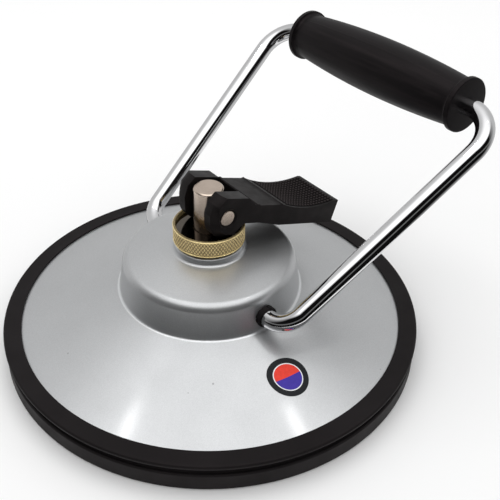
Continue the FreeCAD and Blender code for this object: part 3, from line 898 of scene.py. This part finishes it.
class LIFTER_OT_lever(bpy.types.Operator):
    """Forked cam lever with bevelled head, raised band and checkered thumb rest"""

    bl_idname = "lifter.lever"
    bl_label = "Cam lever"

    def execute(self, context):
        looks = context.scene.lifter
        lever = looks.lever
        black = lever_black(looks.colours)
        in_place = (Matrix.Rotation(lever.rest_angle, 4, "Y"), Matrix.Translation(PIN_PLACE))
        core = lever.cam_half_width
        cheek = lever.half_width - core
        bm = bmesh.new()
        loops = []
        for inset, y in ((cheek, -lever.half_width), (0.0, -core), (0.0, core), (cheek, lever.half_width)):
            loops.append(self.loop(bm, self.outline(lever, inset), y))
        for first, second in zip(loops, loops[1:]):
            bmesh.ops.bridge_loops(bm, edges=first + second)
        for end in (loops[0], loops[-1]):
            bmesh.ops.contextual_create(bm, geom=end)
        narrowing = 1.0 - lever.tip_half_width / lever.half_width
        narrowing /= lever.reach - lever.fork_end
        for vert in bm.verts:
            vert.co.y *= 1.0 - narrowing * max(0.0, vert.co.x - lever.fork_end)
        bmesh.ops.recalc_face_normals(bm, faces=bm.faces)
        tall = 30.0 * MM
        gap = box_tool((-tall, -lever.fork_gap, -tall), (lever.fork_end, lever.fork_gap, tall))
        fork_round = 2.0 * MM
        front = [edge for edge in gap.edges if all(v.co.x > 0.0 for v in edge.verts)]
        upright = [edge for edge in front if abs(edge.verts[0].co.z - edge.verts[1].co.z) > MERGE]
        rounded_off(gap, upright, fork_round, "EDGES")
        hole = PIN_HIGH.x
        sink = 1.15 * MM
        overrun = 2.0 * MM
        outside = lever.half_width + overrun
        bore = lathe(
            [
                (0.0, -outside),
                (hole + sink, -outside),
                (hole + sink, -lever.half_width),
                (hole, sink - lever.half_width),
                (hole, lever.half_width - sink),
                (hole + sink, lever.half_width),
                (hole + sink, outside),
                (0.0, outside),
            ],
            steps=64,
            closed=False,
        )
        moved(bore, along_y())
        body = cut(bm, gap, bore)
        moved(body, *in_place)
        add_piece(body, "cam_lever", black, "lever", ["lever"], edge=0.35 * MM)
        checks = self.checkering(lever)
        moved(checks, *in_place)
        add_piece(checks, "thumb_checkering", black, "lever")
        return {"FINISHED"}

    def rest_arc(self, lever):
        """Ends, middle and radius of the thumb rest's hollow, in the lever's side view."""
        first = Vector((lever.band_end + 2 * lever.band_step, lever.band_top - lever.band_step))
        tip_flat = 2.0 * MM
        last = Vector((lever.reach - tip_flat, lever.tip_top))
        low = Vector(((first.x + last.x) / 2, lever.rest_dip))
        (ax, ay), (bx, by), (cx, cy) = first, low, last
        across = 2 * (ax * (by - cy) + bx * (cy - ay) + cx * (ay - by))
        a, b, c = first.length_squared, low.length_squared, last.length_squared
        x = (a * (by - cy) + b * (cy - ay) + c * (ay - by)) / across
        y = (a * (cx - bx) + b * (ax - cx) + c * (bx - ax)) / across
        middle = Vector((x, y))
        return first.x, last.x, middle, (first - middle).length

    def rest_height(self, arc, x):
        """Height of the thumb rest at a distance from the pin."""
        middle, radius = arc[2], arc[3]
        return middle.y - math.sqrt(radius * radius - (x - middle.x) ** 2)

    def outline(self, lever, inset):
        """Side outline about the pin, with the head drawn in by an inset; the cam is an involute."""
        rate = lever.stroke / lever.swing
        arc = self.rest_arc(lever)
        back_inset = min(inset, lever.back_bevel)
        back = lever.head_back + back_inset

        def cam(angle):
            """Point on the cam that bears when the lever has turned by an angle, and the way on from it."""
            way = lever.rest_angle - QUARTER - angle
            reach = lever.cam_rise - inset - rate * angle
            outward = Vector((math.cos(way), math.sin(way)))
            onward = Vector((-outward.y, outward.x))
            return outward * reach + onward * rate, onward

        toe, forward = cam(0.0)
        heel, along = cam(lever.swing)
        back_low = heel + along * ((back - heel.x) / along.x)
        floor = lever.band_top - lever.band_step
        slant_height = 4.3 * MM
        slant_run = 2.8 * MM
        head_front = 8.4 * MM
        points = [
            back_low,
            (back, lever.head_top - slant_height - back_inset / 2),
            (back + slant_run, lever.head_top),
            (head_front, lever.head_top),
            (lever.band_start - lever.band_step, floor),
            (lever.band_start, lever.band_top),
            (lever.band_start + lever.band_rib, lever.band_top),
            (lever.band_start + lever.band_rib + lever.band_step, floor),
            (lever.band_end - 2 * lever.band_step, floor),
            (lever.band_end, lever.band_top),
        ]
        steps = 16
        for i in range(steps + 1):
            x = arc[0] + (arc[1] - arc[0]) * i / steps
            points.append((x, self.rest_height(arc, x)))
        handle_start = 33.0 * MM
        neck_end = 20.0 * MM
        neck_start = 10.6 * MM
        toe_length = 0.8 * MM
        points += [
            (lever.reach, lever.tip_top),
            (lever.reach, lever.underside),
            (handle_start, lever.underside),
            (neck_end, lever.neck),
            (neck_start, lever.neck),
            toe + forward * toe_length,
        ]
        turns = 12
        points += [cam(lever.swing * i / turns)[0] for i in range(turns + 1)]
        return points

    def loop(self, bm, points, y):
        """Closed loop of edges through side-view points, at a distance from the middle plane."""
        verts = [bm.verts.new((x, y, z)) for x, z in points]
        return [bm.edges.new(pair) for pair in zip(verts, verts[1:] + verts[:1])]

    def checkering(self, lever):
        """New bmesh: rows of small points on a thin plate that follows the thumb rest."""
        arc = self.rest_arc(lever)
        tip_margin = 0.6 * MM
        side_margin = 1.0 * MM
        plate = 1.0 * MM
        start, end = arc[0] + lever.smooth_strip, arc[1] - tip_margin
        half = lever.tip_half_width - side_margin
        along = round((end - start) / lever.check_pitch)
        across = round(2 * half / lever.check_pitch)
        bm = bmesh.new()
        bmesh.ops.create_grid(bm, x_segments=along, y_segments=across, size=1.0)
        for vert in bm.verts:
            x = (start + end) / 2 + vert.co.x * (end - start) / 2
            vert.co = (x, vert.co.y * half, self.rest_height(arc, x))
        # Tips are marked for rubbed wear and painted highlight, and the grooves between them for painted shade.
        worn = bm.verts.layers.float.new("painted_sheen")
        groove_shade = bm.verts.layers.float.new("groove")
        for vert in bm.verts:
            vert[groove_shade] = 1.0
        for point in bmesh.ops.poke(bm, faces=bm.faces[:], offset=lever.check_height)["verts"]:
            point[worn] = 1.0
            point[groove_shade] = 0.0
        skin = bmesh.ops.extrude_face_region(bm, geom=bm.faces[:])
        bmesh.ops.translate(bm, verts=only(BMVert, skin["geom"]), vec=(0.0, 0.0, -plate))
        bmesh.ops.recalc_face_normals(bm, faces=bm.faces)
        return bm


class LIFTER_OT_bail(bpy.types.Operator):
    """Bent chrome wire, from one end in the hub to the other"""

    bl_idname = "lifter.bail"
    bl_label = "Bail"

    def execute(self, context):
        looks = context.scene.lifter
        bail = looks.bail
        bm = bmesh.new()
        self.place = Vector((0.0, -bail.wire_end, 0.0))
        self.heading = Vector((0.0, -1.0, 0.0))
        bmesh.ops.create_circle(bm, cap_ends=True, radius=bail.wire, segments=48)
        moved(bm, Matrix.Rotation(QUARTER, 4, "X"), Matrix.Translation(self.place))
        self.loop = bm.verts[:] + bm.edges[:]
        foot_turn = QUARTER - bail.splay
        top_turn = QUARTER + bail.splay
        foot_tangent = bail.foot_bend * math.tan(foot_turn / 2)
        top_tangent = bail.top_bend * math.tan(top_turn / 2)
        leg = bail.leg / math.cos(bail.splay) - foot_tangent - top_tangent
        bar = 2 * (bail.foot + bail.leg * math.tan(bail.splay) - top_tangent)
        stub = bail.foot - bail.wire_end - foot_tangent
        for straight, angle, radius in (
            (stub, foot_turn, bail.foot_bend),
            (leg, top_turn, bail.top_bend),
            (bar, top_turn, bail.top_bend),
            (leg, foot_turn, bail.foot_bend),
        ):
            self.run(bm, straight)
            self.bend(bm, angle, radius)
        self.run(bm, stub)
        bmesh.ops.contextual_create(bm, geom=only(BMEdge, self.loop))
        bmesh.ops.recalc_face_normals(bm, faces=bm.faces)
        moved(bm, Matrix.Rotation(-bail.lean, 4, "Y"), Matrix.Translation(PIVOT_PLACE))
        add_piece(bm, "chrome_bail", bail_chrome(looks.colours), "bail", ["bail"])
        return {"FINISHED"}

    def run(self, bm, distance):
        """Lengthens the wire straight ahead."""
        made = bmesh.ops.extrude_edge_only(bm, edges=only(BMEdge, self.loop))["geom"]
        verts = only(BMVert, made)
        bmesh.ops.translate(bm, verts=verts, vec=self.heading * distance)
        ends = set(verts)
        self.loop = verts + [edge for edge in only(BMEdge, made) if all(v in ends for v in edge.verts)]
        self.place += self.heading * distance

    def bend(self, bm, angle, radius):
        """Bends the wire to its left, in its own plane."""
        left = Vector((-self.heading.y, self.heading.x, 0.0))
        centre = self.place + left * radius
        degrees_a_step = 4.0
        steps = round(math.degrees(angle) / degrees_a_step)
        made = bmesh.ops.spin(
            bm, geom=self.loop, cent=centre, axis=(0, 0, 1), angle=angle, steps=steps, use_merge=False
        )
        self.loop = made["geom_last"]
        turn_by = Matrix.Rotation(angle, 3, "Z")
        self.place = centre + turn_by @ (self.place - centre)
        self.heading = turn_by @ self.heading


class LIFTER_OT_grip(bpy.types.Operator):
    """Barrel-shaped rubber grip with rounded flanges and a moulding seam"""

    bl_idname = "lifter.grip"
    bl_label = "Grip"

    def execute(self, context):
        looks = context.scene.lifter
        bail = looks.bail
        shoulder = bail.grip_half - bail.flange
        neck = shoulder - bail.flare
        belly = bail.grip_middle - bail.grip_end
        barrel = []
        spans = 24
        for i in range(1, spans):
            y = neck * (2 * i / spans - 1)
            barrel.append((bail.grip_middle - belly * (y / neck) ** 2, y))
        sag = -2 * belly * bail.flare / neck
        rise = bail.flange_radius - bail.grip_edge - bail.grip_end - sag
        flare = []
        for t in (1.0, 0.8, 0.6, 0.4, 0.2, 0.0):
            flare.append((bail.grip_end + sag * t + rise * t**4, neck + bail.flare * t))
        end = [
            (bail.wire, bail.grip_half),
            (bail.flange_radius, bail.grip_half, bail.grip_edge),
            (bail.flange_radius, shoulder + bail.grip_edge / 2),
            *flare,
        ]
        other_end = [(corner[0], -corner[1], *corner[2:]) for corner in end]
        bm = lathe(other_end + barrel + end[::-1], FINE)
        seam = bail.seam_turn - bail.lean
        half_seam = 0.6 * math.tau / FINE
        for vert in bm.verts:
            if abs(vert.co.z) < neck and vert.co.xy.length > 2 * bail.wire:
                angle = math.atan2(vert.co.y, vert.co.x)
                away = min(abs(math.remainder(angle - way, math.tau)) for way in (seam, seam + math.pi))
                if away < half_seam:
                    vert.co.xy *= 1.0 + bail.seam_height / vert.co.xy.length
        moved(
            bm,
            Matrix.Rotation(QUARTER, 4, "X"),
            Matrix.Translation((bail.leg, 0.0, 0.0)),
            Matrix.Rotation(-bail.lean, 4, "Y"),
            Matrix.Translation(PIVOT_PLACE),
        )
        rubber = grip_rubber(looks.colours)
        add_piece(bm, "rubber_grip", rubber, "bail", ["grip"], flat=False)
        return {"FINISHED"}


class LIFTER_OT_grommets(bpy.types.Operator):
    """Notched rubber bushes where the wire enters the hub"""

    bl_idname = "lifter.grommets"
    bl_label = "Grommets"

    def execute(self, context):
        looks = context.scene.lifter
        rubber = pad_rubber(looks.colours)
        rubber.name = "grommet_rubber"
        fit = 0.05 * MM
        inner = looks.bail.wire + fit
        neck = looks.bail.wire + looks.bail.grommet_wall
        edge = 0.3 * MM
        tooth = 0.3 * MM
        crest = GROMMET_HIGH.x
        base = crest - tooth
        wall_in = 39.6 * MM
        wall_out = 42.0 * MM
        for name, side in (("near", -1.0), ("far", 1.0)):
            bm = lathe(
                [
                    (inner, GROMMET_LOW.y),
                    (neck, GROMMET_LOW.y, edge),
                    (neck, wall_in),
                    (neck, wall_out),
                    (base, wall_out),
                    (base, GROMMET_HIGH.y, edge),
                    (inner, GROMMET_HIGH.y, edge),
                ],
                steps=60,
            )
            self.teeth(bm, base, wall_out, crest)
            turned = Matrix.Rotation(0.0 if side > 0 else math.pi, 4, "Z")
            moved(bm, along_y(), turned, Matrix.Translation((0.0, 0.0, PIVOT_PLACE.z)))
            add_piece(bm, "grommet_" + name, rubber, "cup", ["bail_grommet_" + name])
        return {"FINISHED"}

    def teeth(self, bm, base, low, crest):
        """Raises three of every five of the flange's outer faces into a tooth."""
        face_degrees = 6.0
        nearly = 0.1 * MM
        raised = []
        for face in bm.faces:
            middle = face.calc_center_median()
            upright = abs(face.normal.z) < 0.1
            outer = upright and middle.z > low and abs(middle.xy.length - base) < nearly
            number = math.floor(math.degrees(math.atan2(middle.y, middle.x)) / face_degrees)
            if outer and number % 5 < 3:
                raised.append(face)
        for vert in only(BMVert, bmesh.ops.extrude_face_region(bm, geom=raised)["geom"]):
            vert.co.xy *= crest / base
        bmesh.ops.delete(bm, geom=raised, context="FACES")
        bmesh.ops.recalc_face_normals(bm, faces=bm.faces)


class LIFTER_OT_sticker(bpy.types.Operator):
    """Round sticker that follows the cone"""

    bl_idname = "lifter.sticker"
    bl_label = "Sticker"

    def execute(self, context):
        looks = context.scene.lifter
        sticker, dish = looks.sticker, looks.dish
        slope = math.atan(cone_slope(dish))
        height = cone_height(dish, sticker.place)
        glue = 0.01 * MM
        rings = 10
        bm = lathe([(sticker.radius * i / rings, 0.0) for i in range(rings + 1)], steps=96, closed=False)
        sheet = bm.loops.layers.uv.new("print")
        for face in bm.faces:
            for corner in face.loops:
                flat = corner.vert.co
                corner[sheet].uv = (0.5 - flat.y / sticker.radius / 2, 0.5 - flat.x / sticker.radius / 2)
        for vert in bm.verts:
            out, across = vert.co.x, vert.co.y
            radius = sticker.place + out * math.cos(slope)
            angle = sticker.azimuth + across / radius
            vert.co = (radius * math.cos(angle), radius * math.sin(angle), height - out * math.sin(slope))
        bmesh.ops.recalc_face_normals(bm, faces=bm.faces)
        if sum(face.normal.z for face in bm.faces) < 0.0:
            bmesh.ops.reverse_faces(bm, faces=bm.faces)
        bmesh.ops.translate(bm, verts=bm.verts, vec=(0.0, 0.0, glue))
        bmesh.ops.solidify(bm, geom=bm.faces[:], thickness=-sticker.thickness)
        bmesh.ops.recalc_face_normals(bm, faces=bm.faces)
        add_piece(bm, "round_sticker", sticker_print(looks.colours), "cup")
        return {"FINISHED"}


class LIFTER_OT_inner(bpy.types.Operator):
    """Finishes of the CAD pieces inside the hub"""

    bl_idname = "lifter.inner"
    bl_label = "Inner pieces"

    def execute(self, context):
        colours = context.scene.lifter.colours
        steel = plain_steel(colours)
        finishes = {"guide_sleeve": bored_bronze(colours)}
        for name in ("hub_bush", "pull_plate", "jam_nut"):
            finishes[name] = steel
        for side in ("near", "far"):
            finishes["end_washer_" + side] = steel
            finishes["end_clip_" + side] = steel
        for name, finish in finishes.items():
            node = frame["nodes"][name]
            node.data.materials.clear()
            node.data.materials.append(finish)
        return {"FINISHED"}


class LIFTER_OT_stage(bpy.types.Operator):
    """Pale floor, soft light, reflector and the camera"""

    bl_idname = "lifter.stage"
    bl_label = "Stage"

    def execute(self, context):
        scene = context.scene
        scene.view_settings.view_transform = "Standard"
        self.floor(scene)
        self.world(scene)
        self.reflector(scene)
        self.lamps(scene)
        self.camera(scene)
        return {"FINISHED"}

    def floor(self, scene):
        """Disc that fades out at its edge, and isn't seen from below."""
        radius = 1.1
        drop = 0.05 * MM
        finish = Finish("pale_floor", roughness=0.9, specular_ior_level=0.1)
        finish.colour(finish.shade((0.93, 0.93, 0.93), finish.mottle(3.0, 0.99, 1.01)))
        fading = finish.spread(finish.radius(), (0.35, 1.0), (0.0, 1.0))
        below = finish.node("ShaderNodeNewGeometry").outputs["Backfacing"]
        clear = finish.math("MAXIMUM", fading, below)
        nothing = finish.node("ShaderNodeBsdfTransparent").outputs["BSDF"]
        shown = finish.node("ShaderNodeMixShader", {0: clear, 1: finish.shader.outputs["BSDF"], 2: nothing})
        finish.feed(finish.tree.nodes["Material Output"].inputs["Surface"], shown.outputs["Shader"])
        bm = bmesh.new()
        bmesh.ops.create_circle(bm, cap_ends=True, radius=radius, segments=96)
        bmesh.ops.translate(bm, verts=bm.verts, vec=(0.0, 0.0, -drop))
        self.add(scene, "floor", bm, finish.material)

    def add(self, scene, name, bm, material):
        made = bpy.data.objects.new(name, mesh_of(bm, name))
        made.data.materials.append(material)
        scene.collection.objects.link(made)
        return made

    def world(self, scene):
        """White to the eye and in reflections, and a softer fill for everything else."""
        fill = 0.82
        world = bpy.data.worlds.new("studio")
        scene.world = world
        world.use_nodes = True
        nodes, links = world.node_tree.nodes, world.node_tree.links
        background = nodes["Background"]
        background.inputs["Color"].default_value = (1.0, 1.0, 1.0, 1.0)
        path = nodes.new("ShaderNodeLightPath")
        seen = path.outputs["Is Camera Ray"]
        for ray in ("Is Glossy Ray", "Is Transmission Ray"):
            either = nodes.new("ShaderNodeMath")
            either.operation = "MAXIMUM"
            links.new(seen, either.inputs[0])
            links.new(path.outputs[ray], either.inputs[1])
            seen = either.outputs["Value"]
        strength = nodes.new("ShaderNodeMapRange")
        strength.inputs["To Min"].default_value = fill
        strength.inputs["To Max"].default_value = 1.0
        links.new(seen, strength.inputs["Value"])
        links.new(strength.outputs["Result"], background.inputs["Strength"])

    def reflector(self, scene):
        """Dome that only reflections show: dark in front over a faint strip, grey behind, bright above."""
        size = 2.0
        lift = 0.6 * MM
        opening = 0.15
        rows = 15
        arc = []
        for i in range(rows):
            angle = QUARTER * i / rows
            arc.append((size * math.cos(angle), lift + size * math.sin(angle)))
        bm = lathe([(opening, lift), *arc, (0.0, lift + size)], steps=96, closed=False)
        finish = Finish("reflector", roughness=1.0, specular_ior_level=0.0)
        finish.shader.inputs["Base Color"].default_value = (0.0, 0.0, 0.0, 1.0)
        finish.shader.inputs["Emission Color"].default_value = (1.0, 1.0, 1.0, 1.0)
        away = (0.574, 0.819, 0.0)
        way = finish.vector("NORMALIZE", finish.place)["Vector"]
        up = finish.node("ShaderNodeSeparateXYZ", {"Vector": way}).outputs["Z"]
        behind = finish.vector("DOT_PRODUCT", way, away)["Value"]
        dark = 0.005
        faint = 0.16
        grey = 0.58
        strip_middle = 0.15
        strip_half = 0.09
        in_strip = finish.math("COMPARE", up, strip_middle, strip_half)
        strip = finish.spread(in_strip, (0.0, 1.0), (dark, faint))
        front = finish.math("MAXIMUM", finish.spread(up, (0.68, 0.8), (dark, 1.62)), strip)
        back = finish.spread(finish.math("POWER", up, 6.0), (0.0, 1.0), (grey, 1.12))
        side = finish.spread(behind, (-0.3, 0.3), (0.0, 1.0))
        step = finish.node("ShaderNodeMix", {0: side, 2: front, 3: back}, data_type="FLOAT")
        finish.feed(finish.shader.inputs["Emission Strength"], step.outputs[0])
        dome = self.add(scene, "reflector", bm, finish.material)
        dome.visible_camera = False
        dome.visible_diffuse = False
        dome.visible_shadow = False
        dome.visible_transmission = False

    def lamps(self, scene):
        """Two softboxes, and two small lamps that only leave glints on the paint."""
        for name, place, size, power, glint in (
            ("overhead_softbox", (0.15, 0.25, 1.3), 1.1, 5.0, False),
            ("side_softbox", (-1.2, -0.35, 0.9), 0.7, 1.2, False),
            ("left_glint", (-0.275, 0.374, 1.23), 0.07, 0.3, True),
            ("right_glint", (0.449, -0.14, 1.228), 0.07, 0.3, True),
        ):
            lamp = bpy.data.lights.new(name, "AREA")
            lamp.shape = "DISK"
            lamp.size = size
            lamp.energy = power
            made = bpy.data.objects.new(name, lamp)
            made.location = place
            made.rotation_euler = (-Vector(place)).to_track_quat("-Z", "Y").to_euler()
            made.visible_glossy = glint
            made.visible_diffuse = not glint
            scene.collection.objects.link(made)

    def camera(self, scene):
        lens = bpy.data.cameras.new("camera")
        lens.lens = 57.816
        lens.sensor_width = 36.0
        lens.shift_x = 0.0723
        lens.shift_y = -0.0748
        lens.clip_start = 0.01
        lens.clip_end = 50.0
        made = bpy.data.objects.new("camera", lens)
        made.location = (-0.17672, -0.250517, 0.272823)
        made.rotation_euler = (math.radians(56.2357), math.radians(0.4105), math.radians(-35.914))
        scene.collection.objects.link(made)
        scene.camera = made


STEPS = (
    LIFTER_OT_dish,
    LIFTER_OT_pad,
    LIFTER_OT_collar,
    LIFTER_OT_turned,
    LIFTER_OT_lever,
    LIFTER_OT_bail,
    LIFTER_OT_grip,
    LIFTER_OT_grommets,
    LIFTER_OT_sticker,
    LIFTER_OT_inner,
    LIFTER_OT_stage,
)


class LIFTER_PT_panel(bpy.types.Panel):
    """Buttons that build the lifter, piece by piece"""

    bl_idname = "LIFTER_PT_panel"
    bl_label = "Suction lifter"
    bl_space_type = "VIEW_3D"
    bl_region_type = "UI"
    bl_category = "Lifter"

    def draw(self, context):
        for step in STEPS:
            self.layout.operator(step.bl_idname)


CLASSES = (
    DishSizes,
    PadSizes,
    CollarSizes,
    LeverSizes,
    BailSizes,
    StickerSizes,
    Colours,
    LifterLooks,
    *STEPS,
    LIFTER_PT_panel,
)


def register():
    for made in CLASSES:
        bpy.utils.register_class(made)
    bpy.types.Scene.lifter = PointerProperty(type=LifterLooks)


def unregister():
    del bpy.types.Scene.lifter
    for made in reversed(CLASSES):
        bpy.utils.unregister_class(made)


def main():
    register()
    for step in STEPS:
        group, name = step.bl_idname.split(".")
        getattr(getattr(bpy.ops, group), name)()


if __name__ == "__main__":
    main()
